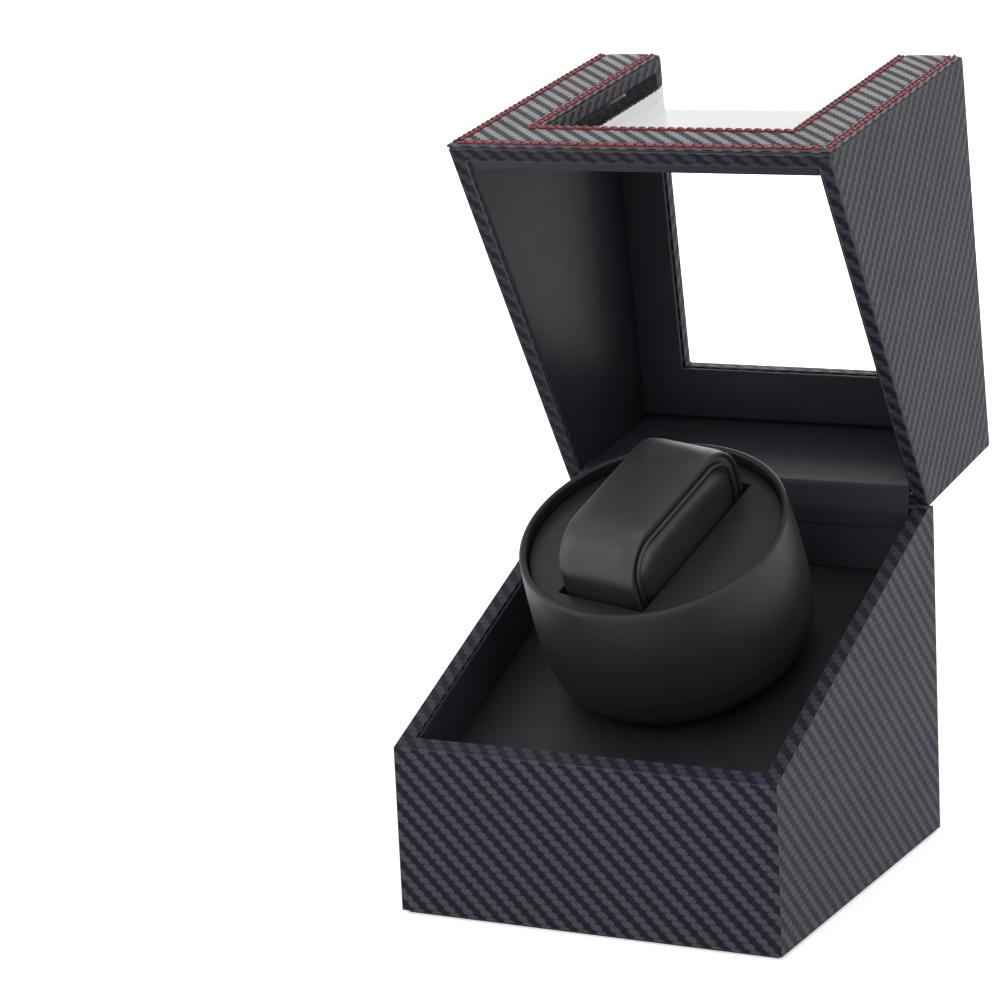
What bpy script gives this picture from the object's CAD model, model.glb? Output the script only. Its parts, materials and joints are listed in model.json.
# %% [markdown]
# # A watch winder box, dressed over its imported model
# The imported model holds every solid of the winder: boards, hinges, drum and drive. This lesson
# gives it the surfaces of the real thing. The leatherette wraps, the stitched facing, the drum
# and the watch pillow get meshes of their own; everything else keeps its solid and gets a finish.

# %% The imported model
import json
import math
import bmesh
import bpy
import numpy as np
from mathutils import Matrix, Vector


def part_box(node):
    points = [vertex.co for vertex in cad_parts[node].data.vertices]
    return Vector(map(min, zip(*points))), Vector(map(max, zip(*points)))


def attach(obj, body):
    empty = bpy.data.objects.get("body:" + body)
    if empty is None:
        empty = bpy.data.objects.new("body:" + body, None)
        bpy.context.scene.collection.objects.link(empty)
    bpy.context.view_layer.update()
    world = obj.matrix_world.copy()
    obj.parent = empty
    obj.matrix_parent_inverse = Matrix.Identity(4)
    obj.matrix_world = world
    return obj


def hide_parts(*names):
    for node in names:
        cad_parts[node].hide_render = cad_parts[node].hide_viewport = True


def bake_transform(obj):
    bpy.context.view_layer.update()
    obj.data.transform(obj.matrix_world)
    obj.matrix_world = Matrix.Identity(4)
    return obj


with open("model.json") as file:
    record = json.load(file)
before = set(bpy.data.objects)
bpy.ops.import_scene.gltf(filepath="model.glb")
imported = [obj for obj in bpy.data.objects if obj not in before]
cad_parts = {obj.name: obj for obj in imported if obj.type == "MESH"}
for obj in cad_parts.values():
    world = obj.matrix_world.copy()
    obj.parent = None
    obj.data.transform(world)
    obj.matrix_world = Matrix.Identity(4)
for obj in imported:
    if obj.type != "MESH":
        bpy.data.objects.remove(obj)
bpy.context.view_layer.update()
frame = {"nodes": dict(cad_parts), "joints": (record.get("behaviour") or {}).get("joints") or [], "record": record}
nodes = frame["nodes"]
joints = {joint["name"]: joint for joint in frame["joints"]}

# %% [markdown]
# ## Sizes
# Sizes are in millimetres, as a box maker writes them, and turned into metres by MM. The outside
# of the base, the hinge and the drum's axis are read from the model, so that they can't disagree
# with it.

# %% Sizes of the box
MM = 0.001
base_low, base_high = np.array(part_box("base_wrap")) / MM
HALF_W = base_high[0]
FRONT, REAR = base_low[1], base_high[1]
FOOT, REAR_EDGE = base_low[2], base_high[2]
TOP = FOOT + 163.6
WALL = 4.5  # board and wrap together
WRAP = 0.7
LIP = 0.4  # the wrap's thickness where it is turned in over the rim
LIP_DEEP = 4.0
RIM_FRONT = FOOT + 51.5
RIM_SLOPE = math.radians(23.3)
RIM_TAN, RIM_COS = math.tan(RIM_SLOPE), math.cos(RIM_SLOPE)
LID_GAP = 0.3
STILE = 21.0  # strips beside the window
RAIL = 21.6  # strip below the window
WINDOW_BACK = FRONT + 105.0
FACING = 1.5
HINGE = np.array(joints["lid_hinge"]["pos_m"][1:]) / MM
OPEN = math.radians(joints["lid_hinge"]["range_deg"][1])
print("box", 2 * HALF_W, "x", round(REAR - FRONT, 1), "x", TOP - FOOT, "mm")


def rim_z(y):
    """Height of the base's sloping rim at depth y."""
    return RIM_FRONT + (y - FRONT) * RIM_TAN


def lid_z(y):
    """Height of the lid's lower edge at depth y when the lid is shut."""
    return rim_z(y) + LID_GAP / RIM_COS


# %% The lid, shut and opened
def turned(points, angle):
    """Points turned about the hinge pin: y' = y cos a - z sin a, z' = y sin a + z cos a."""
    out = np.array(points, float)
    y, z = out[:, 1] - HINGE[0], out[:, 2] - HINGE[1]
    out[:, 1] = y * math.cos(angle) - z * math.sin(angle) + HINGE[0]
    out[:, 2] = y * math.sin(angle) + z * math.cos(angle) + HINGE[1]
    return out


def opened(points):
    """Points of the shut lid, tipped back to where the lid rests."""
    return turned(points, -OPEN)


def as_is(points):
    """Points of the base, which stay where they are."""
    return np.array(points, float)


print("the lid rests tipped back by", round(math.degrees(OPEN), 2), "degrees")

# %% [markdown]
# ## Mesh tools
# A few small tools serve every piece: one puts points and faces into a mesh, one joins a grid of
# points with quads, one makes modifiers final, and one gives a piece its finish. Booleans and
# bevels are used for the wrapped walls, because leatherette over a board is exactly that: a sharp
# board with its edges eased.

# %% Points and faces into a piece
def placed(name, data):
    """A new object in the scene."""
    thing = bpy.data.objects.new(name, data)
    bpy.context.scene.collection.objects.link(thing)
    return thing


def values_of(items, field):
    """A row of three numbers for each point or face of a mesh."""
    values = np.empty(len(items) * 3)
    items.foreach_get(field, values)
    return values.reshape(-1, 3)


def dressed(piece, finish, solid=None):
    """Gives a piece its one finish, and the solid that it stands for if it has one."""
    piece.data.materials.clear()
    piece.data.materials.append(finish)
    if solid:
        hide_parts(solid)


def merged(mesh, then):
    """Merges the doubles of a mesh and takes one more step on it."""
    shell = bmesh.new()
    shell.from_mesh(mesh)
    bmesh.ops.remove_doubles(shell, verts=shell.verts, dist=1e-6)
    then(shell)
    shell.to_mesh(mesh)
    shell.free()


def piece_of(name, points, faces, body):
    """A mesh object from points in millimetres, doubles merged and faces turned outward."""
    mesh = bpy.data.meshes.new(name)
    mesh.from_pydata((np.asarray(points) * MM).tolist(), [], [list(face) for face in faces])
    merged(mesh, lambda shell: bmesh.ops.recalc_face_normals(shell, faces=shell.faces))
    piece = placed(name, mesh)
    if body:
        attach(piece, body)
    return piece


def smooth_piece(name, points, faces, body):
    """A piece of the same kind, shaded smooth."""
    piece = piece_of(name, points, faces, body)
    piece.data.shade_smooth()
    return piece


def sharp_over(piece, angle):
    """Shades a piece smooth, except over edges sharper than an angle in degrees."""
    piece.data.shade_smooth()
    piece.data.set_sharp_from_angle(angle=math.radians(angle))


def grid_faces(rows, cols, loop_rows=False, loop_cols=False):
    """Quads of a rows x cols grid of points; a looped direction joins its last line to its
    first."""
    r = np.arange(rows if loop_rows else rows - 1)[:, None]
    c = np.arange(cols if loop_cols else cols - 1)[None, :]
    r1, c1 = (r + 1) % rows, (c + 1) % cols
    quads = np.stack([r * cols + c, r * cols + c1, r1 * cols + c1, r1 * cols + c], axis=-1)
    return quads.reshape(-1, 4).tolist()


def settle(piece):
    """Makes the modifiers of a piece final."""
    graph = bpy.context.evaluated_depsgraph_get()
    graph.update()
    final = bpy.data.meshes.new_from_object(piece.evaluated_get(graph))
    piece.modifiers.clear()
    piece.data = final


def eased(piece, radius, steps=3):
    """Every edge sharper than 30 degrees is rounded to a radius."""
    bevel = piece.modifiers.new("eased", "BEVEL")
    bevel.width = radius * MM
    bevel.segments = steps
    bevel.limit_method = "ANGLE"
    bevel.angle_limit = math.radians(30)
    bevel.harden_normals = True
    piece.data.shade_smooth()
    settle(piece)


def carved(piece, *cutters):
    """Takes the cutters away from a piece, and throws them away."""
    for cutter in cutters:
        cut = piece.modifiers.new("cut", "BOOLEAN")
        cut.operation = "DIFFERENCE"
        cut.solver = "EXACT"
        cut.object = cutter
        settle(piece)
        bpy.data.objects.remove(cutter)


def prism(name, outline, x0, x1, place=as_is, body=None):
    """An outline of (y, z) points carried straight from x0 to x1: two copies, joined by quads."""
    outline = np.asarray(outline, float)
    n = len(outline)
    points = np.concatenate([np.column_stack([np.full(n, x), outline]) for x in (x0, x1)])
    i = np.arange(n)
    sides = np.column_stack([i, (i + 1) % n, (i + 1) % n + n, i + n])
    return piece_of(name, place(points), sides.tolist() + [i.tolist(), (i + n).tolist()], body)


def peg(name, x, z, radius, y0, y1):
    """A round peg from y0 to y1: x = radius cos t, z = radius sin t."""
    n = 48
    t = np.linspace(0, 2 * np.pi, n, endpoint=False)
    ring = np.column_stack([x + radius * np.cos(t), 0 * t, z + radius * np.sin(t)])
    points = np.concatenate([ring + [0, y, 0] for y in (y0, y1)])
    ends = [list(range(n)), list(range(n, 2 * n))]
    return piece_of(name, points, grid_faces(2, n, loop_cols=True) + ends, None)


print("mesh tools ready")

# %% [markdown]
# ## Finishes
# The wrap is leatherette embossed and printed as a 2/1 twill: each tow along the height floats
# over two cells and dives under one, where the tow across shows as a short bright blob. The blobs
# step one cell sideways per row, which gives the slanting rows. It could be a tiled picture; the
# rule is so short that it is worked out in the shader from a UV map counted in cells.

# %% Node helpers
def new_finish(name):
    """A material with its node tree and its main shader."""
    material = bpy.data.materials.new(name)
    material.use_nodes = True
    return material, material.node_tree, material.node_tree.nodes["Principled BSDF"]


def wire(tree, value, socket):
    """Links a socket, or sets a number."""
    if hasattr(value, "links"):
        tree.links.new(value, socket)
    else:
        socket.default_value = value


def given(node, **numbers):
    """Sets a node's own sockets; an underscore stands for a space in a socket's name."""
    for name, value in numbers.items():
        node.inputs[name.replace("_", " ")].default_value = value


def calc(tree, operation, *values):
    """One arithmetic step on sockets or numbers."""
    step = tree.nodes.new("ShaderNodeMath")
    step.operation = operation
    for value, socket in zip(values, step.inputs):
        wire(tree, value, socket)
    return step.outputs[0]


def blended(tree, amount, first, second):
    """Colour between two, by an amount from 0 to 1."""
    mix = tree.nodes.new("ShaderNodeMix")
    mix.data_type = "RGBA"
    wire(tree, amount, mix.inputs["Factor"])
    wire(tree, first, mix.inputs["A"])
    wire(tree, second, mix.inputs["B"])
    return mix.outputs["Result"]


def eased_step(tree, value, start, end):
    """0 below start and 1 above end, with a soft step between."""
    step = tree.nodes.new("ShaderNodeMapRange")
    step.interpolation_type = "SMOOTHSTEP"
    wire(tree, value, step.inputs["Value"])
    given(step, From_Min=start, From_Max=end)
    return step.outputs["Result"]


def cloudy(tree, size, detail=2.0):
    """Noise with features of a size in millimetres, on the piece's own coordinates."""
    place = tree.nodes.new("ShaderNodeTexCoord")
    noise = tree.nodes.new("ShaderNodeTexNoise")
    given(noise, Scale=1 / (size * MM), Detail=detail)
    tree.links.new(place.outputs["Object"], noise.inputs["Vector"])
    return noise.outputs["Fac"]


def marked(tree, attribute):
    """The number that a piece's faces carry under a name."""
    mark = tree.nodes.new("ShaderNodeAttribute")
    mark.attribute_name = attribute
    return mark.outputs["Fac"]


def raised(tree, shader, height, depth):
    """Bumps the surface by a height of 0 to 1 times a depth in millimetres."""
    bump = tree.nodes.new("ShaderNodeBump")
    given(bump, Distance=depth * MM, Strength=1.0)
    tree.links.new(height, bump.inputs["Height"])
    tree.links.new(bump.outputs["Normal"], shader.inputs["Normal"])


def shade(colour, factor):
    """A colour made lighter or darker."""
    return tuple(channel * factor for channel in colour[:3]) + (1.0,)


def varied(tree, shader, colour, amount, darkest, lightest):
    """Colours the surface between two shades of a colour, by an amount from 0 to 1."""
    tree.links.new(blended(tree, amount, shade(colour, darkest), shade(colour, lightest)),
                   shader.inputs["Base Color"])


def uneven_gloss(tree, shader, roughness, spread, size, detail=2.0):
    """Roughness that wanders about its value, in clouds of a size in millimetres."""
    cloud = calc(tree, "MULTIPLY", cloudy(tree, size, detail), spread)
    tree.links.new(calc(tree, "ADD", cloud, roughness - spread / 2), shader.inputs["Roughness"])


print("node helpers ready")

# %% Twill leatherette
CELL = 2.05  # width of one tow of the twill
BLOB_WIDE = 1.65  # width of a blob, in cells
LEAN = 0.6  # how far a blob leans along its row, in cells
UV_SHIFT = 200  # cells, which keeps every UV above zero
BLOB_FADE = (-0.25, 0.35)  # values between which a blob's outline fades in
CALMED = 0.5  # the share of a blob that stretching takes away
TOW_ARC = math.pi * 0.8  # how much of a cosine a tow's section follows
TOW_LOW = 0.4  # height of the tow along, where a blob's is 1


def twill(name, tow_along, tow_across, rubbed, roughness, specular, depth, foil=0.0):
    """In row j of cells the tow across shows once in three cells, one cell further to the left
    than in the row below. It swells as a rounded blob, 1 - |p|^3 - |q|^3, where p is the
    distance across from the blob's leaning middle over half its width and q is the distance
    up over half a cell. The tow along shows beside it, rounded as a cosine. Turned-in foil is
    stretched, so on a face with calm = 1 the blobs stand out only half as much. The blobs may
    shine like foil, by a share from 0 to 1."""
    material, tree, shader = new_finish(name)
    uv = tree.nodes.new("ShaderNodeUVMap")
    uv.uv_map = "weave"
    split = tree.nodes.new("ShaderNodeSeparateXYZ")
    tree.links.new(uv.outputs["UV"], split.inputs["Vector"])
    u, v = split.outputs["X"], split.outputs["Y"]
    j = calc(tree, "FLOOR", v)
    a = calc(tree, "SUBTRACT", calc(tree, "FRACT", u), 0.5)
    b = calc(tree, "SUBTRACT", calc(tree, "FRACT", v), 0.5)
    row = calc(tree, "ADD", calc(tree, "ADD", u, j), 1.0)
    across = calc(tree, "SUBTRACT", calc(tree, "FLOORED_MODULO", row, 3.0), 1.5)
    leaning = calc(tree, "ADD", across, calc(tree, "MULTIPLY", b, LEAN))
    p = calc(tree, "ABSOLUTE", calc(tree, "MULTIPLY", leaning, 2 / BLOB_WIDE))
    q = calc(tree, "ABSOLUTE", calc(tree, "MULTIPLY", b, 2.0))
    fall = calc(tree, "ADD", calc(tree, "POWER", p, 3.0), calc(tree, "POWER", q, 3.0))
    blob = eased_step(tree, calc(tree, "SUBTRACT", 1.0, fall), *BLOB_FADE)
    kept = calc(tree, "SUBTRACT", 1.0, calc(tree, "MULTIPLY", marked(tree, "calm"), CALMED))
    blob = calc(tree, "MULTIPLY", blob, kept)
    tow_top, round_top = (calc(tree, "COSINE", calc(tree, "MULTIPLY", place, TOW_ARC))
                          for place in (a, b))
    along = calc(tree, "MULTIPLY", calc(tree, "SUBTRACT", 1.0, blob),
                 calc(tree, "MULTIPLY", tow_top, TOW_LOW))
    height = calc(tree, "ADD", calc(tree, "MULTIPLY", blob, round_top), along)
    patchy = calc(tree, "ADD", calc(tree, "MULTIPLY", cloudy(tree, 9.0), 0.5), 0.75)
    crest = eased_step(tree, height, 0.0, 0.8)
    dark = blended(tree, crest, shade(tow_along, 0.55), shade(tow_along, 1.0))
    woven = blended(tree, blob, dark, shade(tow_across, 1.0))
    worn = blended(tree, calc(tree, "MULTIPLY", marked(tree, "rub"), patchy), woven,
                   shade(rubbed, 1.0))
    tree.links.new(worn, shader.inputs["Base Color"])
    uneven_gloss(tree, shader, roughness, 0.12, 14.0)
    given(shader, Specular_IOR_Level=specular)
    if foil:
        tree.links.new(calc(tree, "MULTIPLY", blob, foil), shader.inputs["Metallic"])
    raised(tree, shader, height, depth)
    return material


wrap_finish = twill("twill_wrap", (0.022, 0.020, 0.032), (0.073, 0.071, 0.093),
                    (0.10, 0.10, 0.11), 0.5, 0.08, 0.16)
facing_finish = twill("twill_facing", (0.018, 0.019, 0.027), (0.092, 0.088, 0.102),
                      (0.12, 0.12, 0.13), 0.45, 0.02, 0.08, foil=0.9)
print("twill cell", CELL, "mm, rows repeat every", 3 * CELL, "mm")


# %% UV map in cells, and rubbed edges
def weave_uv(piece, lid=False):
    """Each face takes the two directions it lies in, counted in cells: front (x, z), right
    (y, z), top (x, y), with the first one running to the right seen from outside. Faces that
    turn a corner get rub = how far their normal is from every flat of the box, and faces of
    the sloping rims get calm = 1."""
    mesh = piece.data
    count = len(mesh.polygons)
    points = values_of(mesh.vertices, "co") / MM
    normals = values_of(mesh.polygons, "normal")
    if lid:
        points = turned(points, OPEN)
        normals = turned(normals + [0, HINGE[0], HINGE[1]], OPEN) - [0, HINGE[0], HINGE[1]]
    corner = np.empty(len(mesh.loops), int)
    mesh.loops.foreach_get("vertex_index", corner)
    sides = np.empty(count, int)
    mesh.polygons.foreach_get("loop_total", sides)
    face = np.repeat(np.arange(count), sides)
    axis = np.abs(normals).argmax(axis=1)
    sign = np.sign(normals[np.arange(count), axis])
    axis, sign, place = axis[face], sign[face], points[corner]
    u = np.where(axis == 0, place[:, 1] * sign,
                 np.where(axis == 1, -place[:, 0] * sign, place[:, 0]))
    v = np.where(axis == 2, place[:, 1] * sign, place[:, 2])
    layer = mesh.uv_layers.new(name="weave")
    layer.data.foreach_set("uv", (np.column_stack([u, v]) / CELL + UV_SHIFT).ravel())
    slope = np.array([0, -math.sin(RIM_SLOPE), RIM_COS])
    flats = np.vstack([np.eye(3), slope])
    off = 1 - np.abs(normals @ flats.T).max(axis=1)
    on_rim = np.abs(normals @ slope) > 0.97
    for name, values in (("rub", np.clip(off * 8, 0, 1)), ("calm", on_rim.astype(float))):
        mesh.attributes.new(name, "FLOAT", "FACE").data.foreach_set("value", values)


print("UV maps are counted in cells of", CELL, "mm")


# %% [markdown]
# Smooth leatherette lines the box and covers the pillow. It is the same foil without the weave:
# a fine pebble, a slow change of gloss, and hardly any colour. Moulded plastic is finer still.

# %% Smooth leatherette, felt and moulded plastic
def pebbled(name, colour, roughness, grain, depth, sheen=0.0, specular=0.5):
    """Colour varied by slow clouds, and a bump of pebbles of a grain in millimetres."""
    material, tree, shader = new_finish(name)
    varied(tree, shader, colour, cloudy(tree, 16.0), 0.82, 1.18)
    uneven_gloss(tree, shader, roughness, 0.14, 6.0)
    given(shader, Sheen_Weight=sheen, Specular_IOR_Level=specular)
    raised(tree, shader, cloudy(tree, grain, 3.0), depth)
    return material


lining_finish = pebbled("smooth_lining", (0.024, 0.0225, 0.031), 0.48, 0.35, 0.02, specular=0.2)
deck_finish = pebbled("deck_cloth", (0.009, 0.0085, 0.011), 0.55, 0.35, 0.02, specular=0.35)
pillow_finish = pebbled("pillow_leatherette", (0.020, 0.018, 0.022), 0.42, 0.45, 0.03)
drum_finish = pebbled("drum_satin", (0.018, 0.0175, 0.022), 0.42, 0.18, 0.008, specular=0.28)
moulded_finish = pebbled("moulded_black", (0.020, 0.020, 0.021), 0.5, 0.25, 0.012)
felt_finish = pebbled("foot_felt", (0.018, 0.018, 0.020), 0.95, 0.6, 0.15, sheen=0.5)
foam_finish = pebbled("pillow_foam", (0.05, 0.05, 0.05), 0.9, 0.5, 0.2)
print("smooth finishes ready")


# %% Boards, metals and the small parts
FIBRES = 2500.0  # fibres side by side in a metre
DULL = 0.028  # taken off what a clear pane mirrors
LEAST = 0.004


def fibrous(name, colour, stretch):
    """Pressed fibres: fine noise drawn out along x, over a base colour."""
    material, tree, shader = new_finish(name)
    place = tree.nodes.new("ShaderNodeTexCoord")
    drawn = tree.nodes.new("ShaderNodeMapping")
    given(drawn, Scale=(1 / (stretch * MM), FIBRES, FIBRES))
    noise = tree.nodes.new("ShaderNodeTexNoise")
    given(noise, Scale=1.0)
    tree.links.new(place.outputs["Object"], drawn.inputs["Vector"])
    tree.links.new(drawn.outputs["Vector"], noise.inputs["Vector"])
    varied(tree, shader, colour, noise.outputs["Fac"], 0.7, 1.25)
    given(shader, Roughness=0.85)
    raised(tree, shader, noise.outputs["Fac"], 0.05)
    return material


def metallic(name, colour, roughness):
    """Metal with a finely scratched, cloudy polish."""
    material, tree, shader = new_finish(name)
    varied(tree, shader, colour, cloudy(tree, 3.0), 0.85, 1.1)
    given(shader, Metallic=1.0)
    uneven_gloss(tree, shader, roughness, 0.2, 0.6, 4.0)
    return material


def clear(name):
    """Polished acrylic: the share of light that glances off is mirrored, and the rest goes
    straight through. The share is Fresnel's less DULL, at least LEAST: DULL is a choice, so
    that the shut pane doesn't look milky between these all-white surroundings."""
    material, tree, shader = new_finish(name)
    given(shader, Base_Color=(0.97, 0.985, 0.99, 1), Metallic=1.0)
    glance = tree.nodes.new("ShaderNodeFresnel")
    given(glance, IOR=1.49)
    share = calc(tree, "MAXIMUM", calc(tree, "SUBTRACT", glance.outputs["Fac"], DULL), LEAST)
    tree.links.new(share, shader.inputs["Alpha"])
    smear = calc(tree, "MULTIPLY", cloudy(tree, 30.0), 0.06)
    tree.links.new(smear, shader.inputs["Roughness"])
    return material


slot_finish = {
    "mdf_board": fibrous("board_mdf", (0.45, 0.33, 0.22), 0.8),
    "fibre_board": fibrous("board_hard", (0.13, 0.09, 0.06), 1.5),
    "black_lining": lining_finish,
    "black_felt": felt_finish,
    "zinc_steel": metallic("steel_zinc", (0.60, 0.60, 0.62), 0.35),
    "magnet_nickel": metallic("nickel", (0.70, 0.69, 0.66), 0.2),
    "black_steel": metallic("steel_black", (0.05, 0.05, 0.052), 0.4),
    "motor_can": metallic("steel_can", (0.55, 0.55, 0.57), 0.3),
    "bush_brass": metallic("brass_turned", (0.75, 0.55, 0.25), 0.3),
    "housing_plastic": moulded_finish,
    "drum_black": drum_finish,
    "gear_nylon": pebbled("nylon", (0.78, 0.75, 0.66), 0.45, 0.4, 0.01),
    "board_green": pebbled("board_resist", (0.02, 0.16, 0.06), 0.35, 0.5, 0.01),
    "clear_acrylic": clear("acrylic"),
    "pillow_foam": foam_finish,
    "pillow_leather": pillow_finish,
    "carbon_wrap": wrap_finish,
    "facing_leather": facing_finish,
}
for part in frame["record"]["subparts"]:
    solid = nodes[part["node"]]
    for place in range(max(1, len(solid.material_slots))):
        if not solid.material_slots:
            solid.data.materials.append(None)
        solid.material_slots[place].material = slot_finish[part["material_slot"]]
primed_finish = fibrous("board_primed", (0.016, 0.015, 0.018), 0.8)
for name in ("lid_front_board", "lid_top_board"):
    nodes[name].material_slots[0].material = primed_finish

# %% [markdown]
# ## The wraps
# A wrapped wall is a board with leatherette glued over it and turned in over the rim. Each wrap
# starts as the whole thick wall, an outline carried across the box; the hollow and the window
# are taken out, the edges are eased, and then the boards are taken out of it, so that what is
# left is the foil itself.

# %% Outlines seen from the side
HOLLOW = WALL + LIP
FLAT = FRONT + (REAR_EDGE - RIM_FRONT) / RIM_TAN
PAST = 9.0  # how far a cutter reaches past what it cuts
BEHIND = REAR + 2  # where a cutter ends behind the rear wall


def upright(inset, low, high):
    """An oblong seen from the side, set in at the front and the rear."""
    return [(FRONT + inset, low), (REAR - inset, low), (REAR - inset, high),
            (FRONT + inset, high)]


def across_box(name, outline, inset, place=as_is, body=None):
    """An outline carried across the box, set in on both sides."""
    return prism(name, outline, inset - HALF_W, HALF_W - inset, place, body)


def base_outline(inset):
    """The base's side, set in all round."""
    low, edge = FOOT + inset, REAR_EDGE - inset
    flat = FRONT + (edge + inset / RIM_COS - RIM_FRONT) / RIM_TAN
    front_top = rim_z(FRONT + inset) - inset / RIM_COS
    return [(FRONT + inset, low), (REAR - inset, low), (REAR - inset, edge), (flat, edge),
            (FRONT + inset, front_top)]


def lid_outline(inset):
    """The shut lid's side, set in all round."""
    drop = inset / RIM_COS
    front, rear = FRONT + inset, REAR - inset
    return [(front, lid_z(front) + drop), (rear, lid_z(rear) + drop), (rear, TOP - inset),
            (front, TOP - inset)]


def window_outline(grow):
    """The window seen from the side: an L round the upper front edge."""
    low, high, deep = FRONT - PAST, TOP + PAST, 2 * PAST
    back, sill = WINDOW_BACK + grow, lid_z(FRONT) + RAIL - grow
    return [(low, sill), (FRONT + deep, sill), (FRONT + deep, TOP - deep), (back, TOP - deep),
            (back, high), (low, high)]


print("window", 2 * (HALF_W - STILE), "mm wide")


# %% Notches for the hinges' knuckles
HINGE_X = HALF_W - WALL - 20
NOTCH = 10.4  # half the width of a notch
KNUCKLE = 2.1  # the knuckle's radius and its clearance


def notches(place):
    """Two square cuts through the rear edge, one round each pair of knuckles."""
    y0, y1 = HINGE[0] - KNUCKLE, BEHIND
    z0, z1 = HINGE[1] - KNUCKLE - 1, HINGE[1] + KNUCKLE
    side = [(y0, z0), (y1, z0), (y1, z1), (y0, z1)]
    return [prism("notch", side, x - NOTCH, x + NOTCH, place) for x in (-HINGE_X, HINGE_X)]


print("hinges at x =", round(HINGE_X, 1), "mm either side")

# %% The base's wrap
EDGE = 0.8  # radius of a wrapped edge
base_shell = across_box("base_leatherette", base_outline(0), 0, body="base")
carved(base_shell, across_box("hollow", upright(HOLLOW, FOOT - PAST, TOP), HOLLOW))
eased(base_shell, EDGE)
boards = across_box("boards", base_outline(WRAP), WRAP)
carved(boards, across_box("core", upright(WALL, FOOT - PAST, TOP), WALL))
below = [(FRONT + WALL, FOOT - PAST), (REAR - WALL, FOOT - PAST),
         (REAR - WALL, REAR_EDGE - LIP_DEEP), (FLAT - LIP_DEEP, REAR_EDGE - LIP_DEEP),
         (FRONT + WALL, rim_z(FRONT + WALL) - LIP_DEEP)]
carved(base_shell, boards, across_box("below", below, WALL), *notches(as_is),
       *(peg(name, x, 25, radius, REAR - PAST, BEHIND)
         for name, x, radius in (("inlet_hole", -15, 4.0), ("switch_hole", 15, 3.5))))
weave_uv(base_shell)
dressed(base_shell, wrap_finish, "base_wrap")
print("base wrap:", len(base_shell.data.polygons), "faces")

# %% The lid's wrap
lid_shell = across_box("lid_leatherette", lid_outline(0), 0, opened, "lid")
carved(lid_shell, across_box("hollow", upright(HOLLOW, 0, TOP - HOLLOW), HOLLOW, opened),
       across_box("window", window_outline(0), STILE, opened))
eased(lid_shell, EDGE)
boards = across_box("boards", lid_outline(WRAP), WRAP, opened)
carved(boards, across_box("core", upright(WALL, 0, TOP - WALL), WALL, opened),
       across_box("room", window_outline(WRAP), STILE - WRAP, opened))
above = [(y, lid_z(y) + LIP_DEEP) for y in (FRONT + WALL, REAR - WALL)]
above += [(REAR - WALL, TOP - WALL), (FRONT + WALL, TOP - WALL)]
carved(lid_shell, boards, across_box("above", above, WALL, opened), *notches(opened))
weave_uv(lid_shell, lid=True)
dressed(lid_shell, wrap_finish, "lid_wrap")
print("lid wrap:", len(lid_shell.data.polygons), "faces")

# %% [markdown]
# ## The stitched facing
# The U on the lid's front is a padded panel: foil over thin foam, sewn along both edges with two
# rows of red thread that pull it down. Its section is one closed loop, carried round the U; at
# the corners the outer and the inner line turn together, so the section is simply laid between
# them.

# %% The facing's section and its path
ROUND = 0.7  # rounding of the facing's edges
SEAM_IN = 1.9  # from the facing's edge to the middle of a seam
SEAM_DEEP = 0.35
SEAM_WIDE = 1.8
LAY = 20.0  # mean width of the strips, which the section is drawn at


def facing_height(d):
    """Height over the lid's front at distance d from an edge: a quarter round, less a dip
    SEAM_DEEP exp(-(d - SEAM_IN)^2 / SEAM_WIDE^2) at the seam."""
    edge = np.clip(1 - d / ROUND, 0, 1)
    round_off = ROUND * (1 - np.sqrt(np.clip(1 - edge ** 2, 0, 1)))
    return FACING - round_off - SEAM_DEEP * np.exp(-((d - SEAM_IN) / SEAM_WIDE) ** 2)


near = np.concatenate([ROUND * (1 - np.cos(np.linspace(0, np.pi / 2, 7))), np.linspace(1.6, 6, 16)])
across = np.concatenate([near, [LAY / 2], LAY - near[::-1]])
lift = facing_height(np.minimum(across, LAY - across))
foot_round = 0.5
section_across = np.concatenate([[foot_round, 0], across, [LAY, LAY - foot_round]])
section_lift = np.concatenate([[0, foot_round], lift, [foot_round, 0]])
print(len(section_across), "points in the facing's section")

# %% The facing carried round the U
END_ROUND = 2.4  # rounding of the arms' ends over the lid's upper edge
half_window = HALF_W - STILE
low_out, low_in = lid_z(FRONT), lid_z(FRONT) + RAIL
outer = np.array([(-HALF_W, TOP), (-HALF_W, low_out), (HALF_W, low_out), (HALF_W, TOP)])
within = np.array([(-half_window, TOP), (-half_window, low_in), (half_window, low_in),
                   (half_window, TOP)])
leg_steps = [30, 34, 30]


def along_u(corners):
    """Points along a line of four corners, evenly spaced on each leg."""
    legs = [np.linspace(corners[k], corners[k + 1], steps, endpoint=False)
            for k, steps in enumerate(leg_steps)]
    return np.concatenate(legs + [corners[3:]])


line_out, line_in = along_u(outer), along_u(within)
share = section_across / LAY
flat = line_out[:, None] + share[None, :, None] * (line_in - line_out)[:, None]
to_end = TOP - flat[..., 1]
into_end = np.clip(END_ROUND - to_end, 0, None)
drop = END_ROUND - np.sqrt(np.clip(END_ROUND ** 2 - into_end ** 2, 0, None))
raise_by = np.clip(section_lift[None, :] - drop, 0, None)
grid = np.stack([flat[..., 0], FRONT - raise_by, flat[..., 1]], axis=-1)
rows, cols = grid.shape[:2]
faces = grid_faces(rows, cols, loop_cols=True)
faces += [list(range(cols)), list(range((rows - 1) * cols, rows * cols))]
facing = smooth_piece("facing_panel", opened(grid.reshape(-1, 3)), faces, "lid")
weave_uv(facing, lid=True)
dressed(facing, facing_finish, "lid_facing")
print("facing:", len(facing.data.polygons), "faces")

# %% [markdown]
# Each seam is two rows of thread side by side. A stitch is a short round-ended capsule, a few
# dozen faces, because there are hundreds; it is a ring of points that swells from nothing at one
# end and closes at the other.

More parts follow.
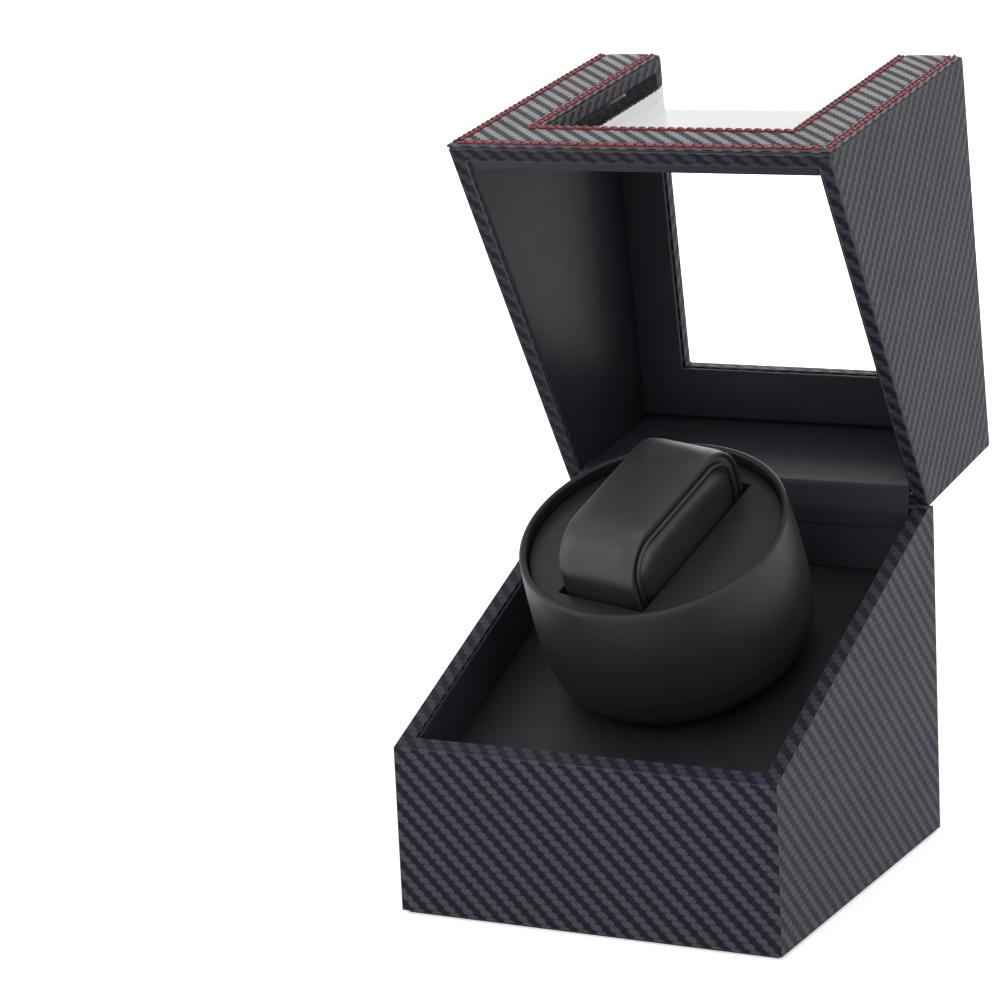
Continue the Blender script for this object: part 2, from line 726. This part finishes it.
# %% Thread finish and one stitch
thread_finish, tree, shader = new_finish("thread_red")
twist = cloudy(tree, 0.35)
tree.links.new(blended(tree, twist, (0.13, 0.010, 0.018, 1), (0.36, 0.035, 0.055, 1)),
               shader.inputs["Base Color"])
given(shader, Roughness=0.6, Sheen_Weight=0.3)
raised(tree, shader, twist, 0.08)

STITCH = 2.7  # length of a stitch
PITCH = 3.15  # from one stitch to the next
THREAD = 0.42  # radius of the thread
ROWS_APART = 1.4
STITCH_S = np.array([0, 0.02, 0.08, 0.25, 0.5, 0.75, 0.92, 0.98, 1.0])
STITCH_T = np.linspace(0, 2 * np.pi, 6, endpoint=False)


def stitches(starts, along, side, up):
    """Capsules from each start point: at share s of its length a stitch has radius
    THREAD sqrt(1 - (2s - 1)^6), and its middle arches up by 0.2 mm."""
    s, t = STITCH_S, STITCH_T
    radius = THREAD * np.sqrt(np.clip(1 - (2 * s - 1) ** 6, 0, None))
    arch = 0.2 * np.sin(np.pi * s)
    ring = (along[:, None, None] * (s * STITCH)[None, :, None, None]
            + up * (arch[None, :, None, None] + (radius[:, None] * np.sin(t))[None, :, :, None])
            + side[:, None, None] * (radius[:, None] * np.cos(t))[None, :, :, None])
    points = (starts[:, None, None] + ring).reshape(-1, 3)
    one = np.array(grid_faces(len(s), len(t), loop_cols=True))
    step = len(s) * len(t)
    return points, (one[None] + (np.arange(len(starts)) * step)[:, None, None]).reshape(-1, 4)


print("stitch", STITCH, "mm at a pitch of", PITCH, "mm")


# %% Two rows along each edge
def seam(from_edge):
    """Stitches of both rows of a seam at a distance from the outer edge, leg by leg."""
    found = []
    for row in (-0.5, 0.5):
        s = (from_edge + row * ROWS_APART) / LAY
        corners = outer + s * (within - outer)
        corners[[0, 3], 1] = TOP - END_ROUND
        for start, end in zip(corners[:-1], corners[1:]):
            run = end - start
            length = np.hypot(*run)
            number = int(length / PITCH)
            shift = (length - (number - 1) * PITCH - STITCH) / 2
            along = run / length
            at = start + (shift + np.arange(number) * PITCH)[:, None] * along
            along3 = np.tile([along[0], 0, along[1]], (number, 1))
            side3 = np.tile([-along[1], 0, along[0]], (number, 1))
            inward = row if from_edge < LAY / 2 else -row
            from_side = min(from_edge, LAY - from_edge) + inward * ROWS_APART
            level = FRONT - facing_height(np.array([from_side]))[0] - THREAD * 0.35
            starts = np.column_stack([at[:, 0], np.full(number, level), at[:, 1]])
            found.append(stitches(starts, along3, side3, np.array([0.0, -1.0, 0.0])))
    return found


parts = seam(SEAM_IN) + seam(LAY - SEAM_IN)
offsets = np.cumsum([0] + [len(points) for points, _ in parts[:-1]])
thread_points = np.concatenate([points for points, _ in parts])
thread_faces = np.concatenate([quads + shift for (_, quads), shift in zip(parts, offsets)])
thread = smooth_piece("facing_stitches", opened(thread_points), thread_faces.tolist(), "lid")
dressed(thread, thread_finish)
print("stitches:", len(thread_points) // (len(STITCH_S) * len(STITCH_T)))

# %% [markdown]
# ## Linings and deck
# The lining panels are card covered with smooth foil, so their edges are soft. Their solids have
# the right outline already: a copy is merged into a clean shell and its edges are eased.

# %% Soft-edged copies of the panels
def soft_copy(node, name, radius, finish, body):
    """A merged copy of a solid, its coplanar triangles joined and its edges eased."""
    mesh = nodes[node].data.copy()
    merged(mesh, lambda shell: bmesh.ops.dissolve_limit(
        shell, angle_limit=math.radians(1), verts=shell.verts, edges=shell.edges))
    piece = placed(name, mesh)
    eased(piece, radius)
    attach(piece, body)
    dressed(piece, finish, node)
    return piece


for body, sides in (("base", ("front", "rear", "left", "right")),
                    ("lid", ("front", "rear", "left", "right", "top"))):
    for side in sides:
        soft_copy(f"{body}_{side}_lining", f"{body}_{side}_panel", 0.4, lining_finish,
                  body)
soft_copy("deck_board", "deck_panel", 0.3, deck_finish, "base")
soft_copy("base_felt", "felt_foot", 0.3, felt_finish, "base")
soft_copy("rear_plate", "control_plate", 0.4, moulded_finish, "base")
print("panels eased")

# %% [markdown]
# Inside, no hinge shows: a strip of the same foil is glued over the joint, from the base's rear
# panel to the lid's, and folds as the lid shuts. It is a thin sheet carried across the box, and
# its middle turns half as far as the lid.

# %% The strip over the hinges
STRIP_T = 0.5
STRIP_OFF = 0.3  # from the panels' faces to the strip's middle
STRIP_HOLD = 5.0  # how far it is glued on either side
BEND = 1.0  # run of the soft bend at the lid's panel


def panel_points(node, place):
    """The corners of a rear panel in millimetres, put where it is with the lid shut."""
    return place(values_of(nodes[node].data.vertices, "co") / MM)


base_points = panel_points("base_rear_lining", as_is)
lid_points = panel_points("lid_rear_lining", lambda points: turned(points, OPEN))
base_edge = np.array([base_points[:, 1].min(), base_points[:, 2].max()])
lid_edge = opened([(0, lid_points[:, 1].min(), lid_points[:, 2].min())])[0, 1:]
way = np.array([math.sin(OPEN), math.cos(OPEN)])
away = np.array([-way[1], way[0]])
corner = lid_edge + away * STRIP_OFF
start = base_edge - [STRIP_OFF, 0]
rise = (corner - start) / np.linalg.norm(corner - start)
t = np.linspace(0, 1, 9)[:, None]
bend = ((1 - t) ** 2 * (corner - rise * BEND) + 2 * t * (1 - t) * corner
        + t ** 2 * (corner + way * BEND))
path = np.concatenate([start - [0, 1] * np.linspace(STRIP_HOLD, 0, 6, endpoint=False)[:, None],
                       start + rise * np.linspace(0, np.linalg.norm(corner - start) - BEND, 12,
                                                  endpoint=False)[:, None],
                       bend, corner + way * np.linspace(BEND, STRIP_HOLD, 6)[1:, None]])
tangent = np.gradient(path, axis=0)
tangent /= np.linalg.norm(tangent, axis=1, keepdims=True)
side = np.column_stack([-tangent[:, 1], tangent[:, 0]]) * STRIP_T / 2
half_strip = base_points[:, 0].max() - 0.2
strip = prism("hinge_strip", np.concatenate([path + side, (path - side)[::-1]]), -half_strip,
              half_strip)
sharp_over(strip, 40)
dressed(strip, lining_finish)
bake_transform(strip)

# %% [markdown]
# ## The drum
# The drum is a moulded cup, turned about its own leaning axis. It is a profile of radius and
# height, spun in many steps so that its satin skin shows no facets. The disc inside it keeps its
# solid's outline.

# %% The drum's own directions
drum_at = np.array(joints["drum_turn"]["pos_m"]) / MM
drum_up = np.array(joints["drum_turn"]["axis"], float)
drum_right = np.array([1.0, 0.0, 0.0])
drum_back = np.cross(drum_up, drum_right)


def on_drum(points):
    """Points from the drum's frame, whose origin is the middle of the rim."""
    points = np.asarray(points, float)
    return (drum_at + points[..., :1] * drum_right + points[..., 1:2] * drum_back
            + points[..., 2:3] * drum_up)


print("drum leans", round(math.degrees(math.acos(drum_up[2])), 1), "degrees")

# %% The drum's profile
RIM_R, BELLY_R, DEEP, SKIN, CORNER_R = 41.9, 42.9, 48.5, 2.2, 11.0
HUB_HOLE = 7.05


def cup_line(inset):
    """From the floor's hole out round the corner and up to the rim; the side swells from the
    belly's radius to the rim's as a sine, set in by the wall for the inside."""
    a = np.radians(np.linspace(-90, 0, 15))
    cx, cz = BELLY_R - 1 - CORNER_R, CORNER_R - DEEP
    corner = np.column_stack([cx + (CORNER_R - inset) * np.cos(a),
                              cz + (CORNER_R - inset) * np.sin(a)])
    t = np.linspace(0, 1, 24)
    side_z = cz + 2 + (-SKIN / 2 - cz - 2) * t
    swell = np.sin(np.pi * np.minimum(1, 0.25 + 0.75 * t))
    side = np.column_stack([RIM_R - inset + (BELLY_R - RIM_R) * swell, side_z])
    return np.concatenate([[[HUB_HOLE, inset - DEEP]], corner, side])


t = np.radians(np.linspace(0, 180, 9))
lip = np.column_stack([RIM_R - SKIN / 2 + SKIN / 2 * np.cos(t), -SKIN / 2 + SKIN / 2 * np.sin(t)])
profile = np.concatenate([cup_line(0), lip[1:-1], cup_line(SKIN)[::-1]])
print(len(profile), "points in the drum's profile")


# %% The drum spun from its profile
def spun(name, profile, steps, body, place):
    """x = r cos t, y = r sin t, z as in the profile, for a closed profile."""
    t = np.linspace(0, 2 * np.pi, steps, endpoint=False)[:, None]
    r, z = profile[:, 0][None], profile[:, 1][None]
    grid = np.stack([r * np.cos(t), r * np.sin(t), z + 0 * t], axis=-1)
    faces = grid_faces(steps, len(profile), loop_rows=True, loop_cols=True)
    return smooth_piece(name, place(grid.reshape(-1, 3)), faces, body)


drum = spun("drum_shell", profile, 180, "drum", on_drum)
sharp_over(drum, 60)
dressed(drum, drum_finish, "drum_cup")
soft_copy("drum_disc", "drum_plate", 0.25, drum_finish, "drum")
print("drum:", len(drum.data.polygons), "faces")

# %% [markdown]
# ## The watch pillow
# The pillow is a foam block in a sewn cover: a band round it, whose edges roll over, a cord of
# piping, and a soft cheek on each side. Its outline is a rounded oblong, and every part follows
# that one outline, set in or out. The band and the cheeks are inflated with the cloth solver,
# which is what real stuffing does to them.

# %% The pillow's outline
PILLOW_L, PILLOW_W, PILLOW_UP, PILLOW_DOWN, PILLOW_R = 62.0, 30.0, 16.0, 17.0, 14.0
TURN = math.radians(10.8)
CHEEK_IN, CHEEK_T, CORD_T, BAND_T = 5.0, 3.0, 1.6, 1.6
BAND_X = PILLOW_W / 2 - CHEEK_T + 0.6


def oblong(inset, number):
    """Evenly spaced points (y, z) and their outward directions round a rounded oblong: four
    quarter rounds joined by straight runs, set in by an inset."""
    radius = PILLOW_R - inset
    flat_y = PILLOW_L / 2 - PILLOW_R
    low, high = -PILLOW_DOWN + PILLOW_R, PILLOW_UP - PILLOW_R
    quarters = [(flat_y, high, 0), (-flat_y, high, 90), (-flat_y, low, 180), (flat_y, low, 270)]
    fine = []
    for y, z, start in quarters:
        a = np.radians(start + np.linspace(0, 90, 40))
        fine.append(np.column_stack([y + radius * np.cos(a), z + radius * np.sin(a),
                                     np.cos(a), np.sin(a)]))
    fine = np.concatenate(fine + [fine[0][:1]])
    length = np.concatenate([[0], np.cumsum(np.hypot(*np.diff(fine[:, :2], axis=0).T))])
    want = np.linspace(0, length[-1], number, endpoint=False)
    return np.column_stack([np.interp(want, length, fine[:, k]) for k in range(4)])


def on_pillow(points):
    """Points from the pillow's frame: turned about the drum's axis, x across the pillow."""
    out = np.array(points, float)
    x, y = out[..., 0].copy(), out[..., 1].copy()
    out[..., 0] = x * math.cos(TURN) + y * math.sin(TURN)
    out[..., 1] = y * math.cos(TURN) - x * math.sin(TURN)
    return on_drum(out)


print("pillow", PILLOW_L, "x", PILLOW_W, "mm")


# %% Carrying a section round the outline
def ringed(name, section, number):
    """A closed section of (x, out) points carried round the oblong: each point sits at x across
    the pillow and at a distance out along the outline's outward direction."""
    path = oblong(0, number)
    x, out = section[:, 0][None], section[:, 1][None]
    y = path[:, 0:1] + path[:, 2:3] * out
    z = path[:, 1:2] + path[:, 3:4] * out
    grid = np.stack([x + 0 * y, y, z], axis=-1)
    faces = grid_faces(number, len(section), loop_rows=True, loop_cols=True)
    piece = smooth_piece(name, on_pillow(grid.reshape(-1, 3)), faces, "pillow")
    dressed(piece, pillow_finish)
    return piece


print("section carrier ready")


# %% Stuffing
CLOTH_STEPS = 20


def stuffed(piece, pressure, cap):
    """Inflates a piece with the cloth solver, and keeps each point within cap of its start."""
    before = values_of(piece.data.vertices, "co")
    cloth = piece.modifiers.new("stuffing", "CLOTH")
    settings = cloth.settings
    settings.use_pressure = True
    settings.uniform_pressure_force = pressure
    settings.effector_weights.gravity = 0
    settings.tension_stiffness = 20
    settings.compression_stiffness = 20
    settings.mass = 0.2
    cloth.point_cache.frame_start = 1
    cloth.point_cache.frame_end = CLOTH_STEPS
    for step in range(1, CLOTH_STEPS + 1):
        bpy.context.scene.frame_set(step)
    settle(piece)
    bpy.context.scene.frame_set(1)
    move = values_of(piece.data.vertices, "co") - before
    length = np.linalg.norm(move, axis=1, keepdims=True)
    move *= np.minimum(1, cap * MM / np.maximum(length, 1e-12))
    piece.data.vertices.foreach_set("co", (before + move).ravel())
    piece.data.update()
    print(piece.name, "moved", round(float(length.max()) / MM, 2), "mm, kept to", cap)


print("stuffing ready")

# %% The band
s = np.linspace(-1, 1, 25)
top_x = BAND_X * np.sign(s) * np.abs(s) ** 0.9
top_out = -0.9 * np.abs(s) ** 10
roll = np.radians(np.linspace(60, -90, 6))
edge = np.column_stack([BAND_X - 0.2 + 0.9 * np.cos(roll), -1.0 + 0.7 * np.sin(roll)])
under = np.column_stack([np.linspace(BAND_X - 1.2, -BAND_X + 1.2, 14), np.full(14, -BAND_T - 0.2)])
band_section = np.concatenate([np.column_stack([top_x, top_out])[1:-1], edge, under,
                               (edge * [-1, 1])[::-1]])
band = ringed("pillow_band_cover", band_section, 180)
stuffed(band, 1.5, 0.5)
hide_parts("pillow_band")
print("band:", len(band.data.polygons), "faces")

# %% The piping
t = np.radians(np.linspace(0, 360, 12, endpoint=False))
cord_x = PILLOW_W / 2 - CHEEK_T + CORD_T / 2
round_cord = np.column_stack([CORD_T / 2 * np.cos(t), CORD_T / 2 * np.sin(t)])
piping = [ringed(f"pillow_piping_{side}", round_cord + [sign * cord_x, -CHEEK_IN + CORD_T / 2], 180)
          for side, sign in (("left", -1), ("right", 1))]
for cord in piping:
    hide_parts("pillow_welts")
print("piping:", len(piping), "cords")


# %% The cheeks
def cheek(side, sign):
    """A pad on rings of the outline shrunk towards its middle: ring k sits at share q of the
    outline, and its face stands out by CHEEK_T (1 - q^6)^(1/2)."""
    number, rings = 120, 14
    path = oblong(CHEEK_IN, number)[:, :2]
    middle = np.array([0.0, (PILLOW_UP - PILLOW_DOWN) / 2])
    q = np.linspace(1, 0.02, rings) ** 0.8
    loop = middle + q[:, None, None] * (path - middle)[None]
    bulge = CHEEK_T * np.sqrt(1 - q ** 6)
    base_x = PILLOW_W / 2 - CHEEK_T - 0.3
    front = np.stack([np.broadcast_to((base_x + bulge)[:, None], loop.shape[:2]),
                      loop[..., 0], loop[..., 1]], axis=-1)
    back = front[::-1].copy()
    back[..., 0] = base_x - 0.2
    grid = np.concatenate([back, front]) * [sign, 1, 1]
    faces = grid_faces(2 * rings, number, loop_cols=True)
    total = 2 * rings * number
    faces += [list(range(number)), list(range(total - number, total))]
    piece = smooth_piece(f"pillow_cheek_{side}", on_pillow(grid.reshape(-1, 3)), faces, "pillow")
    dressed(piece, pillow_finish)
    stuffed(piece, 1.0, 0.4)
    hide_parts(f"pillow_{side}_cheek")
    return piece


cheeks = [cheek("left", -1), cheek("right", 1)]
print("cheeks:", len(cheeks))

# %% [markdown]
# ## Rear controls
# The mode knob is a small ribbed grip. Its radius carries a fine wave round the side, and a
# notch in its face shows where it points.

# %% The knob
knob_low, knob_high = np.array(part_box("mode_knob")) / MM
knob_r = (knob_high[0] - knob_low[0]) / 2
knob_x, knob_z = (knob_low[0] + knob_high[0]) / 2, (knob_low[2] + knob_high[2]) / 2
KNOB_BORE, KNOB_STEPS = 2.05, 240
RIBS, RIB_DEEP = 30, 0.22
knob_profile = np.array([(KNOB_BORE, 0), (knob_r - 0.3, 0), (knob_r, 0.4), (knob_r, 7.2),
                         (knob_r - 0.4, 8.4), (knob_r - 1.2, 9.0), (3.0, 9.0), (0.02, 8.85),
                         (0.02, 6.9), (KNOB_BORE, 6.9)])
t = np.linspace(0, 2 * np.pi, KNOB_STEPS, endpoint=False)[:, None]
on_side = ((knob_profile[:, 0] > knob_r - 0.1) & (knob_profile[:, 1] < 8))[None]
r = knob_profile[:, 0][None] - RIB_DEEP * on_side * (0.5 + 0.5 * np.cos(RIBS * t))
z = knob_profile[:, 1][None] + 0 * t
knob_grid = np.stack([knob_x + r * np.cos(t), knob_low[1] + z, knob_z + r * np.sin(t)], axis=-1)
knob = piece_of("knob_grip", knob_grid.reshape(-1, 3),
                grid_faces(KNOB_STEPS, len(knob_profile), loop_rows=True, loop_cols=True), "knob")
sunk, proud = knob_high[1] - 0.5, knob_high[1] + 1
carved(knob, prism("pointer", [(sunk, knob_z - knob_r), (proud, knob_z - knob_r),
                               (proud, knob_z - 1), (sunk, knob_z - 1)],
                   knob_x - 0.5, knob_x + 0.5))
sharp_over(knob, 40)
dressed(knob, moulded_finish, "mode_knob")
print("knob:", len(knob.data.polygons), "faces")

# %% [markdown]
# ## Floor, light and camera
# A white floor and a white world stand for the studio. To the camera, and in glossy and clear
# surfaces, both read as plain white; on the box the light stays at a level at which a colour
# renders about as it is written. Six soft panels stand round it: one behind, so that surfaces
# seen at a grazing angle shine, one behind and above for the pane's glare, and weak ones on the
# right, on the left, on top and in front.

# %% Floor and world
AMBIENT = 0.45  # the world's strength as light on the box
FLOOR_HALF, FLOOR_BACK = 6000, 9000
GLOW, GLOW_FAR = 0.55, 0.5  # the floor's own light, and what is added far from the box
NEAR, FAR = 0.2, 0.9  # metres between which it is added


def seen_straight(tree):
    """1 for rays of the camera, of a glossy surface and through a clear one, else 0."""
    rays = tree.nodes.new("ShaderNodeLightPath")
    seen = calc(tree, "MAXIMUM", rays.outputs["Is Camera Ray"], rays.outputs["Is Glossy Ray"])
    return calc(tree, "MAXIMUM", seen, rays.outputs["Is Transmission Ray"])


floor = piece_of("floor", [(-FLOOR_HALF, -FLOOR_HALF, 0), (FLOOR_HALF, -FLOOR_HALF, 0),
                           (FLOOR_HALF, FLOOR_BACK, 0), (-FLOOR_HALF, FLOOR_BACK, 0)],
                 [[0, 1, 2, 3]], None)
floor_finish, tree, shader = new_finish("studio_floor")
given(shader, Base_Color=(0.9, 0.9, 0.9, 1), Roughness=1.0, Specular_IOR_Level=0.0,
      Emission_Color=(1, 1, 1, 1))
seen = seen_straight(tree)
place = tree.nodes.new("ShaderNodeTexCoord")
reach = tree.nodes.new("ShaderNodeVectorMath")
reach.operation = "LENGTH"
tree.links.new(place.outputs["Object"], reach.inputs[0])
far = eased_step(tree, reach.outputs["Value"], NEAR, FAR)
glow = calc(tree, "ADD", calc(tree, "MULTIPLY", far, GLOW_FAR), GLOW)
tree.links.new(calc(tree, "MULTIPLY", seen, glow), shader.inputs["Emission Strength"])
floor.data.materials.append(floor_finish)

world = bpy.data.worlds.new("studio")
bpy.context.scene.world = world
world.use_nodes = True
sky = world.node_tree.nodes["Background"]
tree = world.node_tree
level = calc(tree, "ADD", calc(tree, "MULTIPLY", seen_straight(tree), 1 - AMBIENT), AMBIENT)
tree.links.new(level, sky.inputs["Strength"])
given(sky, Color=(1, 1, 1, 1))
print("floor and world ready")


# %% Soft lights
def panel_light(name, place, target, width, height, watts):
    """A rectangular lamp at a place, looking at a target, both in metres."""
    lamp = bpy.data.lights.new(name, "AREA")
    lamp.shape = "RECTANGLE"
    lamp.size, lamp.size_y, lamp.energy = width, height, watts
    stand = placed(name, lamp)
    away = np.array(place, float) - np.array(target, float)
    away /= np.linalg.norm(away)
    right = np.cross([0, 0, 1], away)
    right /= np.linalg.norm(right)
    up = np.cross(away, right)
    turn = np.eye(4)
    turn[:3] = np.column_stack([right, up, away, place])
    stand.matrix_world = Matrix(turn.tolist())
    return stand


MIDDLE = (0, 0, 0.12)
lamps = [panel_light(*settings) for settings in (
    ("right_panel", (1.3, -0.5, 0.5), MIDDLE, 0.9, 1.1, 3),
    ("left_panel", (-1.2, -0.7, 0.6), MIDDLE, 0.7, 0.9, 4),
    ("back_panel", (-0.1, 1.6, 0.75), MIDDLE, 2.2, 1.0, 10),
    ("pane_panel", (-0.95, 1.55, 1.17), (-0.02, 0.04, 0.24), 1.8, 1.6, 1.5),
    ("top_panel", (0.1, -0.2, 1.7), MIDDLE, 1.2, 1.2, 5),
    ("front_panel", (0.2, -1.5, 0.9), MIDDLE, 1.0, 0.8, 4))]
print("lamps:", len(lamps))

# %% [markdown]
# The camera stands to the right of the box, a little above it, with a long lens. Its place and
# its turn are given as a bearing, a dip and a small roll.

# %% Camera
BEARING, DIP, ROLL = (math.radians(a) for a in (27.824, 12.579, -2.737))
CAMERA_AT = np.array([461.7, -981.6, 362.6]) * MM
LENS = 131.36
ahead = np.array([-math.sin(BEARING) * math.cos(DIP), math.cos(BEARING) * math.cos(DIP),
                  -math.sin(DIP)])
level_right = np.array([math.cos(BEARING), math.sin(BEARING), 0])
level_up = np.cross(level_right, ahead)
view_right = math.cos(ROLL) * level_right + math.sin(ROLL) * level_up
view_up = math.cos(ROLL) * level_up - math.sin(ROLL) * level_right
placing = np.eye(4)
placing[:3] = np.column_stack([view_right, view_up, -ahead, CAMERA_AT])
lens = bpy.data.cameras.new("camera")
lens.lens = LENS
lens.sensor_width = 36
lens.clip_end = 100
camera = placed("camera", lens)
camera.matrix_world = Matrix(placing.tolist())
bpy.context.scene.camera = camera
bpy.context.scene.view_settings.view_transform = "Standard"
print("camera", round(float(np.linalg.norm(CAMERA_AT)), 3), "m away")
